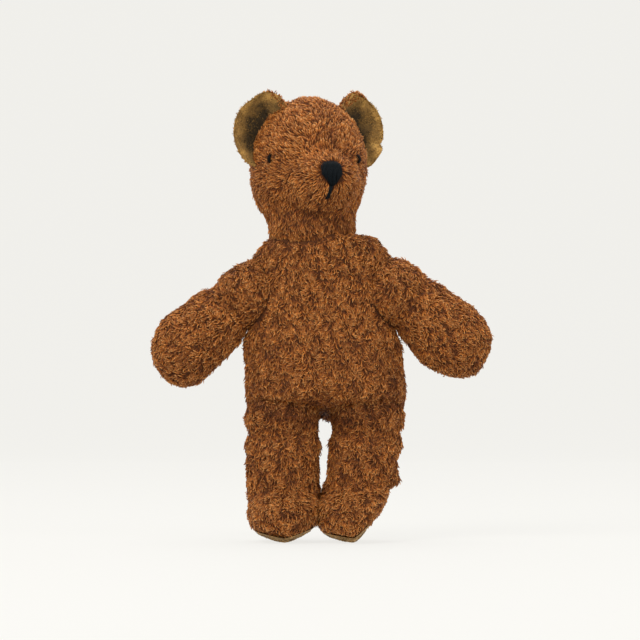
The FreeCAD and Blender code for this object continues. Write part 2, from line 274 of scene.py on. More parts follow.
def velour_material(name, low, middle, high, rim=0.0):
    """Short smooth pile: soft mottling where the nap lies different ways, a fine grain, and where rim is set,
    painted shade: darker in the piece's middle and hollow, paler towards its rim."""
    n = Nodes(name)
    soft = n.noise(9 * MM, 2.0)
    fine = n.noise(0.8 * MM, 2.0)
    both = n.maths("ADD", n.maths("MULTIPLY", soft, 0.7), n.maths("MULTIPLY", fine, 0.3))
    if rim:
        edge = n.make("ShaderNodeAttribute", attribute_name="rim").outputs["Fac"]
        both = n.maths("ADD", both, n.maths("MULTIPLY", n.maths("SUBTRACT", edge, 0.72), rim))
    n.link(n.ramp(both, [(0.30, low), (0.50, middle), (0.72, high)]), n.shader.inputs["Base Color"])
    n.bump(fine, 0.35, 0.4 * MM)
    return n.finish(0.75, 0.6, "e6c89a")


def thread_material(name, low, high, roughness, sheen):
    """Twisted thread, with fine slanting ply marks."""
    n = Nodes(name)
    grain = n.noise(0.5 * MM, 2.0, (1, 1, 0.35))
    n.link(n.ramp(grain, [(0.3, low), (0.7, high)]), n.shader.inputs["Base Color"])
    n.bump(grain, 0.4, 0.15 * MM)
    n.finish(roughness, sheen)
    n.shader.inputs["Specular IOR Level"].default_value = 0.08
    return n.material


def filling_material():
    """Pale wool wadding."""
    n = Nodes("filling")
    n.link(n.ramp(n.noise(3 * MM), [(0.3, "c9bb9c"), (0.7, "f0e8d6")]), n.shader.inputs["Base Color"])
    n.bump(n.noise(1.2 * MM), 0.8, 0.8 * MM)
    return n.finish(0.95, 0.3)


# The ramps run from root to tip: their darker roots are painted shade deep in the pile.
PILE = pile_material(
    "plush_pile",
    [(0.0, "2a1206"), (0.35, "4e260a"), (0.75, "763c14"), (1.0, "8a4c1a")],
    [(0.0, "4c240a"), (0.30, "8c4612"), (0.70, "dc8838"), (1.0, "ffcc88")],
)
NAP = pile_material(
    "velour_nap",
    [(0.0, "120c04"), (0.5, "2c2210"), (1.0, "3c2f18")],
    [(0.0, "5c4014"), (0.5, "a87a34"), (1.0, "dcae64")],
)
BACKING = backing_material()
# The ear's velour carries painted shade: darker in its middle and hollow, paler at the rim.
VELOUR_EAR = velour_material("velour_ear", "2a1f0c", "7a5a2a", "c89a50", rim=0.62)
VELOUR_SOLE = velour_material("velour_sole", "4a3212", "7a5524", "a5783a")
NOSE_THREAD = thread_material("nose_thread", "030608", "0c1317", 0.45, 0.0)
EYE_THREAD = thread_material("eye_thread", "050403", "15100c", 0.4, 0.0)
SEAM_THREAD = thread_material("seam_thread", "4a2610", "7a4620", 0.6, 0.2)
FILLING = filling_material()


def dress(piece, material, body):
    """Gives a piece its material and the body it rides on."""
    piece.data.materials.clear()
    piece.data.materials.append(material)
    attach(piece, body)
    return piece


# ---------------------------------------------------------------- skins

def cover_nodes(body):
    """The CAD nodes that a body's skin stands for: its cloth panels and its stuffing."""
    words = ("_panel", "_gusset", "_stuffing")
    return [n for n in record_bodies[body] if n.endswith(words)]


def fused_cover(body, extra=()):
    """The body's cover and stuffing as one closed mesh, evenly meshed."""
    whole = bmesh.new()
    for node in cover_nodes(body):
        whole.from_mesh(frame["nodes"][node].data)
    for centre, radius in extra:
        made = bmesh.ops.create_icosphere(whole, subdivisions=4, radius=radius)
        bmesh.ops.translate(whole, verts=made["verts"], vec=centre)
    mesh = bpy.data.meshes.new(body + "_skin")
    whole.to_mesh(mesh)
    whole.free()
    return remeshed(placed(body + "_skin", mesh), VOXEL)


def keep_largest(mesh):
    """Keeps only the mesh's largest connected shell."""
    shape = bmesh.new()
    shape.from_mesh(mesh)
    left = set(shape.verts)
    best = set()
    while left:
        start = next(iter(left))
        island, edge = {start}, [start]
        while edge:
            step = edge.pop()
            for link in step.link_edges:
                other = link.other_vert(step)
                if other not in island:
                    island.add(other)
                    edge.append(other)
        left -= island
        if len(island) > len(best):
            best = island
    bmesh.ops.delete(shape, geom=[v for v in shape.verts if v not in best], context="VERTS")
    bmesh.ops.recalc_face_normals(shape, faces=shape.faces)
    shape.to_mesh(mesh)
    shape.free()


def set_back(mesh, depth, steps=3):
    """Moves the skin inwards, smoothing as it goes."""
    for _ in range(steps):
        set_points(mesh, points_of(mesh) - normals_of(mesh) * depth / steps)
        relax(mesh, 2)


def make_skin(body, extra=()):
    skin = fused_cover(body, extra)
    keep_largest(skin.data)
    relax(skin.data, 6)
    set_back(skin.data, SKIN_DEPTH)
    return skin


def cut_sockets(skin, sockets):
    """Hollows a socket out of the torso skin round each ball."""
    for centre, radius in sockets:
        bpy.ops.mesh.primitive_uv_sphere_add(segments=48, ring_count=32, radius=radius, location=centre)
        ball = bpy.context.object
        cut = skin.modifiers.new("Socket", "BOOLEAN")
        cut.operation = "DIFFERENCE"
        cut.solver = "EXACT"
        cut.object = ball
        applied(skin)
        bpy.data.objects.remove(ball)


# ---------------------------------------------------------------- pile

def sample_roots(mesh, density, rng):
    """Random points on a mesh, evenly spread, with the normals there."""
    mesh.calc_loop_triangles()
    corners = rows_of(mesh.loop_triangles, "vertices", 3, int)
    points, normals = points_of(mesh), normals_of(mesh)
    a, b, c = (points[corners[:, k]] for k in range(3))
    areas = np.linalg.norm(np.cross(b - a, c - a), axis=1) / 2
    count = int(areas.sum() * density)
    chosen = rng.choice(len(corners), count, p=areas / areas.sum())
    u, v = rng.random(count), rng.random(count)
    over = u + v > 1
    u[over], v[over] = 1 - u[over], 1 - v[over]
    shares = np.stack([1 - u - v, u, v], axis=1)[:, :, None]
    roots = (points[corners[chosen]] * shares).sum(axis=1)
    ways = unit((normals[corners[chosen]] * shares).sum(axis=1))
    return roots, ways


RINGS = 5                       # rings of points along a strand, before its tip
SPINE = RINGS + 1
STRAND_SHAPE = (0.8, 1.0, 1.0, 1.0, 0.85)   # a strand's thickness at each ring, as shares of its width
WIDTHS = (0.75, 1.25)           # how the strands' widths vary
LENGTHS = (0.6, 1.2)            # and their lengths
TURNS = (0.5, 1.0)              # turns that a strand winds about its own way
ROOT_TILTS = (0.35, 1.15)       # angle from upright at which strands leave the cloth
TILT_SPREAD = 0.12              # how the angle of the tips varies
TIP_PATCH = 0.20                # and how it varies over patches of pile
BEND = 1.6                      # how soon along the strand it has bent over: higher is sooner
CURL_RISE = 0.22                # height of a curl as a share of its width
WANDERING = ((0.9, 11 * MM), (0.8, 5 * MM))     # how far, and over what size, the lie wanders
SWING_SPREAD = 0.30             # how the lie varies from strand to strand
ROOT_DEPTH = 0.4 * MM           # how far below the cloth a strand starts
FLOOR_GAP = 0.8 * MM            # no strand comes lower than this
TONE_PATCH = 0.10               # how tones vary over patches of pile
TONE_SPREAD = 0.26              # and from strand to strand
SEAM_PAINTED_SHADE = 0.30               # how much darker (painted shade in the seam's groove), shorter and further parted pile is at a seam
SEAM_SHORTER = 0.4
SEAM_PARTING = 1.6
FLAT_PAINTED_SHADE = 0.3                # painted shade: how much darker a strand is that leaves the cloth flatter and lies lower in the pile
MIDDLE_TILT = 0.7


class Coat:
    """How one body's pile lies: strands per square metre, sizes in metres, angles in radians."""

    def __init__(self, density=0.75e6, length=6.2, width=0.78, lean=1.35, curl=0.5, tousle=0.8, tone=0.40):
        self.density = density
        self.length = length * MM
        self.width = width * MM
        self.lean = lean
        self.curl = curl
        self.tousle = tousle
        self.tone = tone


def strand_lines(roots, ups, combs, lengths, coat, rng):
    """The curved centre line of every strand: it rises from the cloth, then lies over along the comb
    and waves from side to side."""
    count = len(roots)
    side = unit(np.cross(ups, combs))
    swing = sum(far * waves(roots, size, SEED + k) for k, (far, size) in enumerate(WANDERING, 1))
    swing = coat.tousle * (swing + rng.normal(0, SWING_SPREAD, count))
    ahead = unit(combs * np.cos(swing)[:, None] + side * np.sin(swing)[:, None])
    across = unit(np.cross(ups, ahead))
    phase = rng.uniform(0, 2 * math.pi, count)
    turns = rng.uniform(*TURNS, count)
    first = rng.uniform(*ROOT_TILTS, count)
    last = coat.lean + TIP_PATCH * waves(roots, 7 * MM, SEED + 3) + rng.normal(0, TILT_SPREAD, count)
    line = np.empty((count, SPINE, 3))
    line[:, 0] = roots - ups * ROOT_DEPTH
    step = lengths / RINGS
    for k in range(1, SPINE):
        share = k / RINGS
        tilt = first + (last - first) * min(1.0, BEND * share)
        turn = phase + 2 * math.pi * turns * share
        way = ups * np.cos(tilt)[:, None] + ahead * np.sin(tilt)[:, None]
        way = way + coat.curl * (across * np.cos(turn)[:, None] + ups * CURL_RISE * np.sin(turn)[:, None])
        line[:, k] = line[:, k - 1] + unit(way) * step[:, None]
    line[:, :, 2] = np.maximum(line[:, :, 2], FLOOR_GAP)
    return line, first


def strand_mesh(name, line, width, tones, rng):
    """One mesh of closed three-sided strands along the lines, thick in the middle and sharp at the tip."""
    count = len(line)
    along = unit(np.gradient(line, axis=1))
    spin = unit(rng.normal(size=(count, 1, 3)))
    first = unit(np.cross(along, spin))
    second = np.cross(along, first)
    half = (width / 2 * rng.uniform(*WIDTHS, count))[:, None] * np.array(STRAND_SHAPE)
    rings = np.empty((count, RINGS * 3 + 1, 3))
    for k in range(3):
        angle = 2 * math.pi * k / 3
        out = first * math.cos(angle) + second * math.sin(angle)
        rings[:, k:RINGS * 3:3] = line[:, :RINGS] + out[:, :RINGS] * half[:, :, None]
    rings[:, -1] = line[:, -1]
    tip = RINGS * 3
    faces, heights = [], []
    for k in range(RINGS - 1):
        for i in range(3):
            a, b = 3 * k + i, 3 * k + (i + 1) % 3
            faces += [(a, b, b + 3), (a, b + 3, a + 3)]
            heights += [(k, k, k + 1), (k, k + 1, k + 1)]
    for i in range(3):
        faces.append((tip - 3 + i, tip - 3 + (i + 1) % 3, tip))
        heights.append((RINGS - 1, RINGS - 1, RINGS))
    faces.append((2, 1, 0))
    heights.append((0, 0, 0))
    faces, heights = np.array(faces), np.array(heights) / RINGS
    per = RINGS * 3 + 1
    corners = (faces[None] + (np.arange(count) * per)[:, None, None]).reshape(-1)
    mesh = bpy.data.meshes.new(name)
    mesh.vertices.add(count * per)
    mesh.vertices.foreach_set("co", rings.reshape(-1))
    total = count * len(faces)
    mesh.loops.add(total * 3)
    mesh.loops.foreach_set("vertex_index", corners.astype(np.int32))
    mesh.polygons.add(total)
    mesh.polygons.foreach_set("loop_start", np.arange(0, total * 3, 3, dtype=np.int32))
    mesh.polygons.foreach_set("loop_total", np.full(total, 3, np.int32))
    column = np.minimum((np.clip(tones, 0, 0.999) * TONES).astype(int), TONES - 1)
    edges = np.tile(np.array([0.08, 0.92, 0.5]), len(faces)).reshape(len(faces), 3)
    across = (column[:, None, None] + edges[None]) / TONES
    upwards = np.broadcast_to(heights[None], across.shape)
    layer = mesh.uv_layers.new(name=STRAND_MAP)
    layer.data.foreach_set("uv", np.stack([across, upwards], axis=-1).astype(np.float32).reshape(-1))
    mesh.update(calc_edges=True)
    mesh.validate()
    mesh.shade_smooth()
    return placed(name, mesh)


def even(roots):
    return np.zeros(len(roots))


def no_seam(roots):
    return np.zeros_like(roots), np.zeros(len(roots))


def flatten(vectors, ups):
    """The part of each vector that lies along the surface."""
    return unit(vectors - ups * (vectors * ups).sum(axis=1, keepdims=True))


def grow(name, body, coat, skin, combed, bare, shade, seams, material=PILE):
    """Covers a skin with pile. combed gives the lie at each root, bare says which roots are left out,
    shade lightens or darkens, and seams gives the way off the nearest seam and how near it is."""
    rng = np.random.default_rng(SEED + len(name) + 7 * ord(name[0]))
    thin = 1.0
    roots, ups = sample_roots(skin.data, coat.density * thin, rng)
    kept = ~bare(roots)
    roots, ups = roots[kept], ups[kept]
    off, near = seams(roots)
    combs = flatten(flatten(combed(roots), ups) + off * near[:, None] * SEAM_PARTING, ups)
    lengths = coat.length * rng.uniform(*LENGTHS, len(roots)) * (1 - SEAM_SHORTER * near)
    line, first = strand_lines(roots, ups, combs, lengths, coat, rng)
    patches = waves(roots, 16 * MM, SEED + 5) + waves(roots, 5 * MM, SEED + 6)
    tones = coat.tone + TONE_PATCH * patches + rng.normal(0, TONE_SPREAD, len(roots))
    # Painted shade: tones darken at seams, on flatter strands and wherever shade() darkens a fold or hollow.
    tones = tones + shade(roots) - SEAM_PAINTED_SHADE * near + FLAT_PAINTED_SHADE * (MIDDLE_TILT - first)
    width = coat.width * 1.0
    pile = strand_mesh(name, line, width, tones, rng)
    return dress(pile, material, body)


# ---------------------------------------------------------------- the stuffed parts

BALLS = {"head": 28.0 * MM, "left_arm": 22.5 * MM, "right_arm": 22.5 * MM,
         "left_leg": 23.0 * MM, "right_leg": 23.0 * MM}
PRESSURE = 4.0                  # air pressure that stands for the filling
CLOTH_FRAMES = 20
MOST_SWELL = 2.5 * MM           # how far a point of a skin may move as it fills
SEAM_PLANE = 2.0 * MM           # the side seams of torso, arms and legs lie in this plane of Y
GUSSET_HALF = 12.0 * MM         # the head's two long seams lie this far from its middle
SEAM_REACH = 2.4 * MM
SOCKET_SEAMS = (0.6, 0.25, 0.25, 1.0, 1.0)      # how strongly the pile parts, and painted shade darkens it, at neck, arms and legs

sockets = [(PIVOTS[b], BALLS[b] - SKIN_DEPTH + SOCKET_GAP) for b in BALLS]

TURN = math.atan2(NOD_AXIS[1], NOD_AXIS[0])
HEAD = Matrix.Rotation(TURN, 3, "Z")


def head_point(x, y, z):
    """A point given in millimetres from the neck, on the turned head."""
    return NECK + HEAD @ (Vector((x, y, z)) * MM)


def in_head(points):
    """Points in the head's own frame, from the neck's flex point."""
    return (points - np.array(NECK)) @ np.array(HEAD)


def push(skin, centre, reach, move):
    """Moves the skin near a centre, all in metres, most at the centre and less around it."""
    points = points_of(skin.data)
    set_points(skin.data, points + bump(points, centre, reach)[:, None] * np.asarray(move))


def stuff(skin, held):
    """Fills a skin: cloth under pressure from inside, held at its seams and where its ball turns."""
    start = points_of(skin.data)
    group = skin.vertex_groups.new(name="held")
    for index, weight in enumerate(held(start)):
        group.add([index], float(weight), "REPLACE")
    cloth = skin.modifiers.new("Cloth", "CLOTH")
    cloth.settings.use_pressure = True
    cloth.settings.uniform_pressure_force = PRESSURE
    cloth.settings.effector_weights.gravity = 0
    cloth.settings.vertex_group_mass = "held"
    cloth.point_cache.frame_start, cloth.point_cache.frame_end = 1, CLOTH_FRAMES
    for count in range(1, CLOTH_FRAMES + 1):
        bpy.context.scene.frame_set(count)
    applied(skin)
    bpy.context.scene.frame_set(1)
    skin.vertex_groups.clear()
    moved = points_of(skin.data) - start
    far = np.linalg.norm(moved, axis=1, keepdims=True)
    set_points(skin.data, start + moved * np.minimum(1.0, MOST_SWELL / np.maximum(far, 1e-9)))
    relax(skin.data, 1)


def seams_at_plane(roots):
    """The side seams of torso, arms and legs: the way off the seam, and how near it is."""
    away = roots[:, 1] - SEAM_PLANE
    off = np.zeros_like(roots)
    off[:, 1] = np.sign(away)
    return off, np.exp(-(away / SEAM_REACH) ** 2)


def seams_of_head(roots):
    """The two long seams of the head's centre strip, lost in the pile of the face."""
    local = in_head(roots)
    away = np.abs(local[:, 0]) - GUSSET_HALF
    off = np.zeros_like(roots)
    off[:, 0] = np.sign(away) * np.sign(local[:, 0])
    behind = np.clip((local[:, 1] + 5 * MM) / (20 * MM), 0, 1)
    return off @ np.array(HEAD).T, 0.7 * behind * np.exp(-(away / SEAM_REACH) ** 2)


def seams_of_torso(roots):
    """The side seams, and the closing seam down the middle of the back."""
    off, near = seams_at_plane(roots)
    closing = (roots[:, 1] > 0) * np.exp(-(roots[:, 0] / SEAM_REACH) ** 2)
    off[:, 0] = np.sign(roots[:, 0]) * closing
    near = np.maximum(near, closing)
    # The creases round the sockets, where the pile parts and painted shade darkens it.
    for (centre, radius), depth in zip(sockets, SOCKET_SEAMS):
        away = roots - np.array(centre)
        rim = depth * np.exp(-(np.maximum(np.linalg.norm(away, axis=1) - radius, 0) / SEAM_REACH) ** 2)
        off += unit(away) * rim[:, None]
        near = np.maximum(near, rim)
    return off, near


def curl_up(side, points):
    """How far a foot's edge curls up at each point: most at its sides, a little at toe and heel."""
    low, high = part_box(side + "_sole")
    away = (points - (low + high) / 2) / ((high - low) / 2)
    across, along = away[:, 0], away[:, 1]
    far = np.hypot(across, along)
    sideways = np.where(across < 0, *SOLE_CURL[side]) * np.clip(np.abs(across), 0, 1.2) ** CURL_POWER
    outer = np.clip((far - FLAT_PART) / (1 - FLAT_PART), 0, 1.25) ** 2
    toe = TOE_CURL * outer * along ** 2 / np.maximum(far ** 2, 1e-6)
    high_up = np.clip(1 - points[:, 2] / FOOT_TALL, 0, 1)
    return (sideways + toe) * MM * high_up


def seams_of_leg(side):
    def seams(roots):
        """The side seams, and the seam round the sole."""
        off, near = seams_at_plane(roots)
        above = roots[:, 2] - SOLE_SEAM - curl_up(side, roots)
        sole = np.exp(-(above / (2.5 * MM)) ** 2)
        off[:, 2] = 1.5 * sole
        return off, np.maximum(near, sole)
    return seams


SEAMS = {"torso": seams_of_torso, "head": seams_of_head,
         "left_arm": seams_at_plane, "right_arm": seams_at_plane,
         "left_leg": seams_of_leg("left"), "right_leg": seams_of_leg("right")}
SOLE_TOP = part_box("left_sole")[1][2]
SOLE_CURL = {"left": (5.0, 24.0), "right": (6.0, 9.0)}  # curl at the -X and +X edges, in millimetres
CURL_POWER = 1.3                # above 1, the curl steepens towards the edge
TOE_CURL = 2.0
FLAT_PART = 0.4                 # share of the sole, from its middle, that toe and heel leave flat
FOOT_TALL = 48 * MM
SOLE_SHARE = 0.4                # how tall the sole's turned-up edge is, as a share of the part's height
SOLE_SEAM = SOLE_TOP * SOLE_SHARE


def held_parts(body):
    """How firmly each point is held while the cover fills: at seams and near the balls."""
    def held(points):
        near = SEAMS[body](points)[1] * 0.8
        for other, radius in BALLS.items():
            if body in ("torso", other):
                away = np.linalg.norm(points - np.array(PIVOTS[other]), axis=1)
                near = np.maximum(near, (away < radius + 1 * MM) * 1.0)
        return near
    return held


def groove(skin, body, depth=0.9 * MM):
    """Draws the cloth in along its seams."""
    points = points_of(skin.data)
    near = SEAMS[body](points)[1]
    set_points(skin.data, points - normals_of(skin.data) * (near * depth)[:, None])


def make_skins():
    skins = {}
    for body in BODIES:
        balls = [(PIVOTS[b], BALLS[b] * 0.97) for b in BALLS] if body == "torso" else []
        skins[body] = make_skin(body, balls)
    shape_skins(skins)
    for body, skin in skins.items():
        stuff(skin, held_parts(body))
        groove(skin, body)
    cut_sockets(skins["torso"], sockets)
    for body, skin in skins.items():
        skin.data.shade_smooth()
        dress(skin, BACKING, body)
        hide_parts(*cover_nodes(body))
    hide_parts(*[n for n in record_bodies["torso"] if n.endswith("_seam")])
    return skins


# What sets this bear's shape apart from plain stuffed tubes: the body, the joint that a place is
# measured from, the place, how far the change reaches and how far the cloth moves, in millimetres.
CHANGES = (
    ("torso", "left_arm", (5, 0, -33), (9, 16, 12), (5, 0, 0)),            # armpits
    ("torso", "right_arm", (-5, 0, -33), (9, 16, 13), (-8, 0, 0)),
    ("torso", "left_arm", (0, 0, 20), (12, 20, 9), (2, 0, 0.5)),           # tops of the shoulders
    ("torso", "right_arm", (0, 0, 20), (12, 20, 9), (-2, 0, -0.5)),
    ("left_arm", "left_arm", (30, 0, 10), (15, 22, 11), (1, 0, 2.5)),
    ("right_arm", "right_arm", (-12, 0, 20), (16, 22, 11), (0, 0, -3.5)),
    ("left_arm", "left_arm", (30, 0, 4), (17, 18, 12), (2, 0, 2.8)),       # upper edge of each sleeve
    ("left_arm", "left_arm", (52, 0, -10), (15, 18, 10), (1.2, 0, 2.0)),
    ("left_arm", "left_arm", (26, 0, -45), (12, 18, 9), (-1.4, 0, -2.4)),
    ("left_arm", "left_arm", (66, 0, -42), (7, 18, 14), (-2.0, 0, 1.2)),
    ("right_arm", "right_arm", (-34, 0, -1), (14, 18, 9), (-1.4, 0, 2.0)),
    ("right_arm", "right_arm", (-56, 0, -18), (12, 18, 10), (-1.5, 0, 2.2)),
    ("right_arm", "right_arm", (-48, 0, -64), (20, 18, 9), (0, 0, -2.6)),  # heel of the right paw
    ("right_arm", "right_arm", (-20, 0, -40), (9, 18, 9), (0.8, 0, 1.6)),
    ("left_leg", "left_leg", (19, 0, -18), (12, 24, 8), (4.6, 0, 0)),      # outsides of the thighs
    ("right_leg", "right_leg", (-19, 0, -18), (12, 24, 8), (-5.4, 0, 0)),
    ("left_leg", "left_leg", (20, 0, -6), (12, 24, 8), (3.5, 0, 0)),
    ("right_leg", "right_leg", (-20, 0, -6), (12, 24, 8), (-4.0, 0, 0)),
    ("left_leg", "left_leg", (20, 0, -60), (14, 24, 12), (6.0, 0, -2.0)),  # outsides of the ankles
    ("right_leg", "right_leg", (-20, 0, -68), (12, 28, 20), (-2.0, 0, 0)),
    ("left_leg", "left_leg", (24, 0, -36), (10, 20, 12), (-2.0, 0, 0)),
    ("torso", "left_leg", (24, 0, -2), (8, 20, 9), (0.5, 0, -3.0)),        # lower corners of the hips
    ("torso", "right_leg", (-24, 0, -2), (8, 20, 9), (0.0, 0, -3.5)),
    ("left_leg", "left_leg", (20, 0, -45), (12, 20, 22), (1.5, 0, 0)),
    ("right_leg", "right_leg", (-22, 0, -45), (12, 20, 22), (-1.5, 0, 0)),
    ("left_leg", "left_leg", (-18, 0, -17), (10, 20, 10), (-4.2, 0, 0)),   # insides of the thighs
    ("right_leg", "right_leg", (18, 0, -17), (10, 20, 10), (4.2, 0, 0)),
    ("left_leg", "left_leg", (-24, 0, -38), (8, 20, 12), (2.0, 0, 0)),    # the slot between the shins
    ("right_leg", "right_leg", (20, 0, -38), (8, 20, 12), (-1.6, 0, 0)),
    ("left_leg", "left_leg", (-27, -10, -66), (9, 34, 16), (-2.2, 0, 0)),  # insides of the feet
    ("right_leg", "right_leg", (22, -10, -66), (9, 34, 16), (2.2, 0, 0)),
    ("torso", "left_leg", (2, -28, 13), (20, 15, 9), (0, -1.5, -4)),       # the belly's lower lip
    ("torso", "right_leg", (-2, -28, 13), (20, 15, 9), (0, -1.5, -4)),
    ("torso", "left_leg", (-27, -30, 4), (22, 18, 9), (0, -4, -9)),
    ("torso", "left_leg", (-27, 0, -15), (12, 34, 9), (0, 0, 9)),          # the crotch
    ("head", "head", (-34, 0, 12), (12, 22, 26), (-1.5, 0, 0)),            # jaw and cheek
    ("head", "head", (22, 0, 2), (10, 22, 14), (1.5, 0, 0)),
)


def shape_skins(skins):
    for body, joint, place, reach, move in CHANGES:
        centre = PIVOTS[joint] + Vector(place) * MM
        push(skins[body], centre, np.array(reach) * MM, np.array(move) * MM)
    for side in SIDES:
        mesh = skins[side + "_leg"].data
        points = points_of(mesh)
        near_floor = np.clip(1 - points[:, 2] / FOOT_TALL, 0, 1)
        points[:, 2] += curl_up(side, points) - (SOLE_TOP - SOLE_SEAM) * near_floor
        set_points(mesh, points)


skins = make_skins()


# ---------------------------------------------------------------- how the pile lies

def hidden_in_socket(body, facing):
    """Roots on the part of a limb's ball that never leaves its socket."""
    pivot = np.array(PIVOTS[body])

    def bare(roots):
        away = roots - pivot
        far = np.linalg.norm(away, axis=1)
        return (far < BALLS[body]) & ((unit(away) * facing).sum(axis=1) < -0.85)
    return bare


def in_any_socket(roots):
    hidden = np.zeros(len(roots), bool)
    for centre, radius in sockets:
        hidden |= np.linalg.norm(roots - np.array(centre), axis=1) < radius + 0.5 * MM
    return hidden


def down(roots):
    return np.broadcast_to(-UP, roots.shape) + 0.0


def from_point(centre, fall=0.15):
    def comb(roots):
        return unit(roots - np.array(centre)) - fall * UP
    return comb


nose_low, nose_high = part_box("nose_embroidery")
BELLY_LINE = 82 * MM            # lowest point of the fold under the belly
NOSE_TALL = 0.86 * (nose_high - nose_low)[2]
NOSE_RISE = (nose_low[2] + nose_high[2]) / 2 - NECK[2] - 1.6 * MM
nose_wide = 13.4 * MM


def off_nose(roots):
    """The face's lie: away from the nose, and down over the cheeks."""
    local = in_head(roots)
    out = local - np.array([0, local[:, 1].min(), NOSE_RISE])
    out[:, 1] *= 0.3
    high = 1 / (1 + np.exp(-(local[:, 2] - NOSE_RISE - 16 * MM) / (4 * MM)))
    low = 1 / (1 + np.exp((local[:, 2] - NOSE_RISE + 16 * MM) / (5 * MM)))
    way = unit(out)
    way = way * (1 - 0.2 * high - 0.8 * low)[:, None]
    way[:, 0] += 0.25 * waves(local, 26 * MM, SEED)
    way[:, 2] -= 1.1 * low + 0.10
    return way @ np.array(HEAD).T


def nose_edges(across):
    """Top and bottom of the nose's outline, in shares of its height, where across runs from -1 to 1."""
    return 0.5 - 0.20 * np.abs(across) ** 3, -0.5 + 0.55 * np.maximum(np.abs(across) - 0.15, 0) ** 1.1


def bare_face(roots):
    """No pile grows under the nose, the eyes or deep in the neck."""
    local = in_head(roots)
    across = local[:, 0] / (nose_wide / 2)
    height = (local[:, 2] - NOSE_RISE) / NOSE_TALL
    top, bottom = nose_edges(across)
    nose = (np.abs(across) < 0.95) & (height < top - 0.03) & (height > bottom + 0.03)
    return (local[:, 1] < 0) & nose | hidden_in_socket("head", UP)(roots)


def face_patch_and_chin_shadow(roots):
    """A paler patch beside the nose, and painted shadow under the chin."""
    patch = bump(roots, head_point(-12, -40, 47), np.array([8, 14, 7]) * MM)
    chin = bump(roots, head_point(0, -35, 5), np.array([22, 16, 8]) * MM)
    return 0.25 * patch - 0.35 * chin


def torso_tone_and_painted_shade(roots):
    """Paler on the chest, and darker at the flanks and under the belly as painted shade."""
    chest = bump(roots, (0, -40 * MM, 165 * MM), np.array([45, 40, 26]) * MM)
    flanks = np.clip(np.abs(roots[:, 0]) / (50 * MM), 0, 1) ** 4 * (roots[:, 2] < 135 * MM)
    belly = bump(roots, (3 * MM, -25 * MM, 88 * MM), np.array([40, 30, 9]) * MM)
    return 0.10 * chest - 0.14 * flanks - 0.20 * belly


def leg_fold_painted_shade(roots):
    """Painted shade: darker in the fold under the belly."""
    fold = BELLY_LINE + 14 * MM * ((roots[:, 0] - 3 * MM) / (50 * MM)) ** 2
    return -0.40 * np.exp(-((roots[:, 2] - fold) / (6 * MM)) ** 2)


def grow_pile():
    curly = Coat(density=1.15e6, length=5.0, width=0.66, lean=1.5, curl=0.75, tousle=0.8, tone=0.46)
    face = Coat(density=1.25e6, length=4.8, width=0.54, lean=1.5, curl=0.42, tousle=0.35, tone=0.56)
    grow("torso_pile", "torso", curly, skins["torso"], down, in_any_socket, torso_tone_and_painted_shade, SEAMS["torso"])
    grow("head_pile", "head", face, skins["head"], off_nose, bare_face, face_patch_and_chin_shadow, SEAMS["head"])
    for side, sign in SIDES.items():
        for part in ("arm", "leg"):
            body = f"{side}_{part}"
            pivot = np.array(PIVOTS[body])
            facing = unit(np.array([sign * 0.75, 0, -0.65])) if part == "arm" else -UP
            combed = from_point(pivot) if part == "arm" else down
            bare = hidden_in_socket(body, facing)
            shade = even if part == "arm" else leg_fold_painted_shade
            grow(f"{body}_pile", body, curly, skins[body], combed, bare, shade, SEAMS[body])


grow_pile()


# ---------------------------------------------------------------- thread work

def tubes(name, paths, radius, sides=8):
    """Round threads along paths of points, with rounded ends, in one mesh."""
    points, faces = [], []
    for path in paths:
        path = [Vector(p) for p in path]
        ends = [path[0] + (path[0] - path[1]).normalized() * radius * 0.6]
        ends.append(path[-1] + (path[-1] - path[-2]).normalized() * radius * 0.6)
        first = len(points)
        for index, centre in enumerate(path):
            ahead = (path[min(index + 1, len(path) - 1)] - path[max(index - 1, 0)]).normalized()
            side = ahead.cross(Vector((0.2, 0.9, 0.1))).normalized()
            other = ahead.cross(side)
            size = radius * (0.7 if index in (0, len(path) - 1) else 1.0)
            for k in range(sides):
                angle = 2 * math.pi * k / sides
                points.append(centre + (side * math.cos(angle) + other * math.sin(angle)) * size)
        last = len(points) - sides
        points += ends
        for k in range(sides):
            after = (k + 1) % sides
            for ring in range(first, last, sides):
                faces.append((ring + k, ring + after, ring + sides + after, ring + sides + k))
            faces.append((first + after, first + k, len(points) - 2))
            faces.append((last + k, last + after, len(points) - 1))
    return new_piece(name, points, faces)


head_tree = BVHTree.FromObject(skins["head"], bpy.context.evaluated_depsgraph_get())
torso_tree = BVHTree.FromObject(skins["torso"], bpy.context.evaluated_depsgraph_get())


def on_face(x, z):
    """Where the head's skin is, in front of a point x, z metres from the neck in the head's frame."""
    start = NECK + HEAD @ Vector((x, -0.2, z))
    hit, normal, _, _ = head_tree.ray_cast(start, HEAD @ Vector((0, 1, 0)))
    return hit, normal


NOSE_THREADS = 17
THREAD_STEPS = 9
NOSE_RADIUS = 0.47 * MM         # half the thickness of a thread of the nose
NOSE_PROUD = 1.2 * MM           # how far the nose's edge stands off the cloth
NOSE_DOME = 1.5 * MM            # and how much further its middle does


def make_nose():
    """A shield of satin stitch: upright threads side by side over a low dome."""
    paths = []
    for index in range(NOSE_THREADS):
        across = 2 * (index + 0.5) / NOSE_THREADS - 1
        top, bottom = nose_edges(across)
        path = []
        for step in range(THREAD_STEPS):
            share = step / (THREAD_STEPS - 1)
            height = top + (bottom - top) * share
            edge = 1 - max(abs(across), abs(2 * share - 1)) ** 3
            hit, normal = on_face(across * nose_wide / 2, NOSE_RISE + height * NOSE_TALL)
            path.append(hit + normal * (NOSE_PROUD + NOSE_DOME * edge))
        paths.append(path)
    nose = tubes("nose", paths, NOSE_RADIUS)
    dress(nose, NOSE_THREAD, "head")
    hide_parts("nose_embroidery")


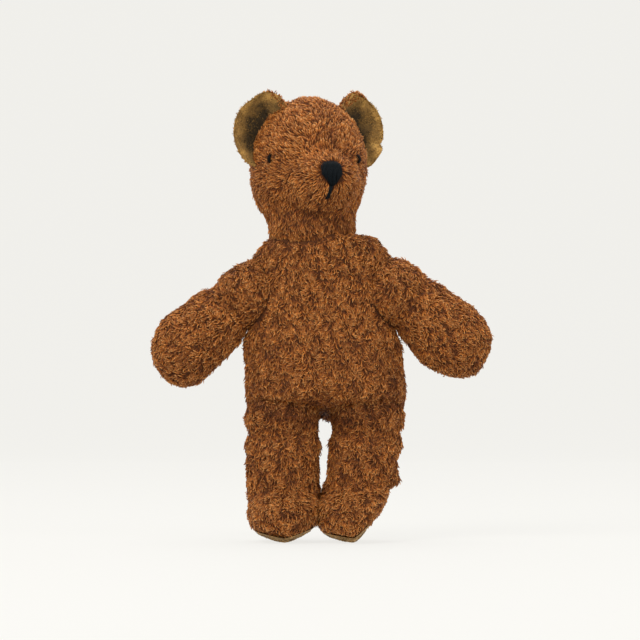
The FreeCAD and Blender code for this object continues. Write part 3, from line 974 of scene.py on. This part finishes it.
def make_mouth():
    """Two long upright stitches under the nose, a little aslant."""
    low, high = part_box("mouth_stitch")
    top, bottom = high[2] - NECK[2] + 1 * MM, low[2] - NECK[2]
    paths = []
    for start, end in ((-1.2, -3.4), (-0.2, -2.6)):
        path = []
        for step in range(7):
            share = step / 6
            x = (start + (end - start) * share) * MM
            hit, normal = on_face(x, top + (bottom - top) * share)
            path.append(hit + normal * 2.6 * MM * math.sin(math.pi * (0.12 + 0.78 * share)))
        paths.append(path)
    mouth = tubes("mouth", paths, 0.68 * MM)
    dress(mouth, NOSE_THREAD, "head")
    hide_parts("mouth_stitch")


def make_eye(side):
    """Two short upright stitches close together."""
    low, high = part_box(side + "_eye")
    centre = (low + high) / 2
    outward = Vector((centre[0] - NECK[0], centre[1] - NECK[1], 0)).normalized()
    across = outward.cross(Vector(UP))
    tall = high[2] - low[2]
    paths = []
    for shift in (-0.55, 0.55):
        path = []
        for step in range(6):
            share = step / 5
            height = Vector((0, 0, (0.5 - share) * tall * 0.8))
            start = centre + across * shift * MM + height + outward * 50 * MM
            hit, normal, _, _ = head_tree.ray_cast(start, -outward)
            path.append(hit + normal * 2.4 * MM * math.sin(math.pi * (0.12 + 0.76 * share)))
        paths.append(path)
    eye = tubes(side + "_eye_stitches", paths, 0.7 * MM)
    dress(eye, EYE_THREAD, "head")
    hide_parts(side + "_eye")


CLOSING_STITCHES = 8
CLOSING_WIDE = 6.5 * MM


def make_closing_stitches():
    """The ladder of hand stitches that closes the back."""
    low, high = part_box("back_closing_stitches")
    paths = []
    for index in range(CLOSING_STITCHES):
        height = low[2] + (high[2] - low[2]) * (index + 0.5) / CLOSING_STITCHES
        path = []
        for step in range(7):
            share = step / 6
            x = (share - 0.5) * CLOSING_WIDE
            hit, normal, _, _ = torso_tree.ray_cast(Vector((x, 0.2, height + x * 0.3)), Vector((0, -1, 0)))
            path.append(hit + normal * (1.6 * math.sin(math.pi * share) - 0.3) * MM)
        paths.append(path)
    stitches = tubes("closing_stitches", paths, 0.5 * MM)
    dress(stitches, SEAM_THREAD, "torso")
    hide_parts("back_closing_stitches")


make_nose()
make_mouth()
make_closing_stitches()

# ---------------------------------------------------------------- ears

EAR_TURN = math.radians(20)     # each ear's mouth turns outwards, and its top leans to the crown
EAR_LEAN = math.radians(-12)
EAR_PLACE = (34.5, 2.0, 64.0)   # centre of the ear from the neck, in millimetres
EAR_WIDE, EAR_TALL = 18.3 * MM, 25.6 * MM
EAR_CUP = 11.0 * MM             # how hollow the ear is
EAR_THICK = 4.2 * MM
LINING_SHARE = 0.38             # share of the thickness that is lining
WRAP = {"left": 0.55, "right": 0.78}    # how far in from the rim the plush begins
EAR_SHARES = (0.0, 0.14, 0.28, 0.42, 0.55, 0.67, 0.77, 0.85, 0.91, 0.955, 0.985, 1.0)
EAR_STEPS = 72


def ear_points(side, layer):
    """A grid of points over the ear, from its middle to its rim. Layer 0 is the lining's face and 1
    the outer back."""
    sign = SIDES[side]
    share = np.repeat(np.array(EAR_SHARES)[:, None], EAR_STEPS, axis=1)
    angle = np.repeat(np.linspace(0, 2 * math.pi, EAR_STEPS, endpoint=False)[None], len(EAR_SHARES), axis=0)
    lobe = 1 - 0.10 * np.exp(-((angle - 0.9) / 0.45) ** 2) - 0.05 * np.exp(-((angle - 5.4) / 0.5) ** 2)
    x = EAR_WIDE * share * np.cos(angle) * lobe
    z = EAR_TALL * share * np.sin(angle) * lobe
    deep = EAR_CUP * (1 - share ** 2)
    low_hollow = 3.0 * MM * np.exp(-((x + 6 * MM) / (9 * MM)) ** 2 - ((z + 9 * MM) / (8 * MM)) ** 2)
    roll = -2.2 * MM * share ** 6 * (0.6 + 0.4 * np.cos(angle + 0.9))
    y = deep + low_hollow + roll
    if side == "left":
        line = z + 7 * MM + 0.35 * x
        y = y + 2.6 * MM * np.exp(-(line / (1.9 * MM)) ** 2) * share ** 0.5
        y = y - 1.6 * MM * np.exp(-((line + 6 * MM) / (3.5 * MM)) ** 2)
    y = y + layer * EAR_THICK * np.sqrt(np.maximum(1 - share ** 8, 0))
    grid = np.stack([sign * x, y, z], axis=-1)
    centre = head_point(sign * EAR_PLACE[0], EAR_PLACE[1], EAR_PLACE[2])
    return grid @ np.array(ear_stance(side)).T + np.array(centre), share


def ear_stance(side):
    sign = SIDES[side]
    return HEAD @ Matrix.Rotation(sign * EAR_TURN, 3, "Z") @ Matrix.Rotation(sign * EAR_LEAN, 3, "Y")


def points_in_ear(side, points):
    """Across and up in the ear's own oval, with across counted away from the head's middle."""
    centre = head_point(SIDES[side] * EAR_PLACE[0], EAR_PLACE[1], EAR_PLACE[2])
    local = (points - np.array(centre)) @ np.array(ear_stance(side))
    return SIDES[side] * local[:, 0], local[:, 2]


def hollow_painted_shade(x, z):
    """Painted shade: 1 in the hollow low in the ear, falling to 0 around it."""
    return np.exp(-((x + 3 * MM) / (11 * MM)) ** 2 - ((z + 9 * MM) / (9 * MM)) ** 2)


def ear_shell(name, side, front, back):
    """A closed sheet of cloth between two layers of the ear."""
    face, share = ear_points(side, front)
    rear, _ = ear_points(side, back)
    rows = len(EAR_SHARES)
    points = [face[0].mean(axis=0)] + list(face[1:].reshape(-1, 3))
    points += [rear[0].mean(axis=0)] + list(rear[1:-1].reshape(-1, 3))
    behind = 1 + (rows - 1) * EAR_STEPS

    def at(row, k, rear_side):
        if row == 0:
            return behind if rear_side else 0
        if rear_side and row < rows - 1:
            return behind + 1 + (row - 1) * EAR_STEPS + k % EAR_STEPS
        return 1 + (row - 1) * EAR_STEPS + k % EAR_STEPS

    faces = []
    for rear_side in (False, True):
        for row in range(rows - 1):
            for k in range(EAR_STEPS):
                corners = [at(row, k, rear_side), at(row + 1, k, rear_side),
                           at(row + 1, k + 1, rear_side), at(row, k + 1, rear_side)]
                corners = list(dict.fromkeys(corners))
                faces.append(corners if rear_side else corners[::-1])
    piece = new_piece(name, points, faces)
    shape = bmesh.new()
    shape.from_mesh(piece.data)
    bmesh.ops.recalc_face_normals(shape, faces=shape.faces)
    shape.to_mesh(piece.data)
    shape.free()
    piece.data.shade_smooth()
    # The rim value rises from the ear's middle to its rim and drops in the hollow: it carries the lining's painted
    # shade.
    rim = piece.data.attributes.new("rim", "FLOAT", "POINT")
    inside = np.concatenate([[0.0], share[1:].reshape(-1), [0.0], share[1:-1].reshape(-1)])
    x, z = points_in_ear(side, points_of(piece.data))
    rim.data.foreach_set("value", (inside - 0.55 * hollow_painted_shade(x, z)).astype(np.float32))
    return piece


EAR_COAT = Coat(length=3.0, width=0.65, tousle=0.6, tone=0.42, density=0.9e6)
RIM_COAT = Coat(length=2.8, width=0.6, lean=1.5, tousle=0.6, tone=0.55, density=0.9e6)
NAP_COAT = Coat(density=1.6e6, length=1.5, width=0.42, lean=1.2, curl=0.5, tousle=0.9, tone=0.36)


def in_rim(side, roots):
    """Across, up and outwards in the ear's own oval; outwards is 1 at the rim."""
    x, z = points_in_ear(side, roots)
    return x, z, np.hypot(x / EAR_WIDE, z / EAR_TALL)


def bare_lining(side):
    def bare(roots):
        """True where the plush, which wraps over the rim on the side of the crown, doesn't reach."""
        x, z, share = in_rim(side, roots)
        towards = (-x / EAR_WIDE * 0.75 + z / EAR_TALL * 0.66) / np.maximum(share, 1e-6)
        return share * (0.55 + 0.45 * towards) < WRAP[side]
    return bare


def ear_painted_shade(side):
    def shade(roots):
        """Painted shade: paler towards the rim, darker towards the ear's middle and in its hollow."""
        x, z, share = in_rim(side, roots)
        return 0.9 * (share - 0.62) - 0.35 * hollow_painted_shade(x, z)
    return shade


def touching(piece):
    def touches(roots):
        """True where a root lies on the other piece, so that its strand would stand inside."""
        tree = BVHTree.FromObject(piece, bpy.context.evaluated_depsgraph_get())
        return np.array([tree.find_nearest(Vector(r))[3] < 0.5 * MM for r in roots])
    return touches


def make_ear(side):
    """An ear's two cloths, the back's pile, the lining's nap and the pile that wraps over its rim."""
    lining = ear_shell(side + "_ear_velour", side, 0.0, LINING_SHARE)
    dress(lining, VELOUR_EAR, "head")
    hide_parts(side + "_ear_lining")
    back = ear_shell(side + "_ear_plush", side, LINING_SHARE, 1.0)
    dress(back, BACKING, "head")
    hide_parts(side + "_ear_back")
    bare = bare_lining(side)
    lie = from_point(head_point(SIDES[side] * 22, 6, 40), 0.0)
    grow(side + "_ear_pile", "head", EAR_COAT, back, lie, touching(lining), even, no_seam)
    grow(side + "_ear_nap", "head", NAP_COAT, lining, lie, lambda roots: ~bare(roots), ear_painted_shade(side),
         no_seam, NAP)
    grow(side + "_ear_rim_pile", "head", RIM_COAT, lining, lie, bare, even, no_seam)


for side in SIDES:
    make_eye(side)
    make_ear(side)

# ---------------------------------------------------------------- soles

SOLE_VOXEL = 1.2 * MM           # remesh size of the soles
SOLE_LIP = 0.7 * MM             # how far a sole's edge stands out past the CAD sole


def make_sole(side):
    """The smooth sole: rounded where it turns up to its seam, flat where it stands."""
    node = side + "_sole"
    piece = remeshed(placed(side + "_sole_velour", frame["nodes"][node].data.copy()), SOLE_VOXEL)
    relax(piece.data, 4)
    points, normals = points_of(piece.data), normals_of(piece.data)
    level = normals.copy()
    level[:, 2] = 0
    points = points + level * SOLE_LIP
    points[:, 2] = np.maximum(points[:, 2] * SOLE_SHARE + curl_up(side, points), 0.1 * MM)
    set_points(piece.data, points)
    piece.data.shade_smooth()
    dress(piece, VELOUR_SOLE, side + "_leg")
    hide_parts(node)

    def hidden(roots):
        return roots[:, 2] > SOLE_SEAM * 0.8 + curl_up(side, roots)

    grow(side + "_sole_nap", side + "_leg", NAP_COAT, piece, down, hidden, even, no_seam,
         NAP)


for side in SIDES:
    make_sole(side)

for name, node in frame["nodes"].items():
    if name.endswith("_wad"):
        node.data.materials.clear()
        node.data.materials.append(FILLING)

# ---------------------------------------------------------------- stage, light and camera

VIEW_CENTRE = Vector((0.0, 0.0, 147.6 * MM))
VIEW_WIDTH = 427.5 * MM         # width of the camera's view at the bear
LENS = 250.0
SENSOR = 36.0
CAMERA_RISE = math.radians(0.0)
LAMPS = (                       # name, place, power in watts and size of each soft light
    ("key_light", (-0.9, -1.3, 1.5), 26, 0.9),
    ("fill_light", (1.3, -1.2, 0.8), 10, 1.2),
    ("top_light", (0.0, 0.3, 1.8), 12, 1.0),
)
WORLD_STRENGTH = 0.55
FLOOR_HALF = 3.0                # half the floor's width
FLOOR_FRONT, FLOOR_BACK = -2.0, 1.6
FLOOR_TURN = 0.6                # radius of the curve up to the backdrop
BACKDROP_TALL = 3.5
TURN_STEPS = 16


def make_stage():
    """A pale floor that curves up behind the bear."""
    points, faces = [], []
    profile = [(FLOOR_FRONT, 0.0), (FLOOR_BACK, 0.0)]
    for k in range(1, TURN_STEPS + 1):
        angle = math.pi / 2 * k / TURN_STEPS
        profile.append((FLOOR_BACK + FLOOR_TURN * math.sin(angle), FLOOR_TURN * (1 - math.cos(angle))))
    profile.append((FLOOR_BACK + FLOOR_TURN, BACKDROP_TALL))
    for y, z in profile:
        points += [(-FLOOR_HALF, y, z), (FLOOR_HALF, y, z)]
    for k in range(len(profile) - 1):
        faces.append((2 * k, 2 * k + 1, 2 * k + 3, 2 * k + 2))
    floor = new_piece("floor", points, faces)
    n = Nodes("floor_paper")
    n.shader.inputs["Base Color"].default_value = srgb("5a5956")
    n.shader.inputs["Emission Color"].default_value = srgb("f4f3ef")
    n.shader.inputs["Emission Strength"].default_value = 0.85
    floor.data.materials.append(n.finish(0.95))


def make_lights():
    for name, place, power, size in LAMPS:
        light = bpy.data.lights.new(name, "AREA")
        light.energy = power
        light.size = size
        lamp = placed(name, light)
        lamp.location = place
        lamp.rotation_euler = (VIEW_CENTRE - Vector(place)).to_track_quat("-Z", "Y").to_euler()
    world = bpy.data.worlds.new("studio")
    world.use_nodes = True
    world.node_tree.nodes["Background"].inputs["Color"].default_value = (1, 1, 1, 1)
    world.node_tree.nodes["Background"].inputs["Strength"].default_value = WORLD_STRENGTH
    bpy.context.scene.world = world
    bpy.context.scene.view_settings.view_transform = "Standard"


def make_camera():
    data = bpy.data.cameras.new("camera")
    data.lens = LENS
    data.sensor_width = SENSOR
    camera = placed("camera", data)
    back = Vector((0.0, -math.cos(CAMERA_RISE), math.sin(CAMERA_RISE)))
    camera.location = VIEW_CENTRE + back * (VIEW_WIDTH * LENS / SENSOR)
    camera.rotation_euler = (-back).to_track_quat("-Z", "Y").to_euler()
    bpy.context.scene.camera = camera


make_stage()
make_lights()
make_camera()
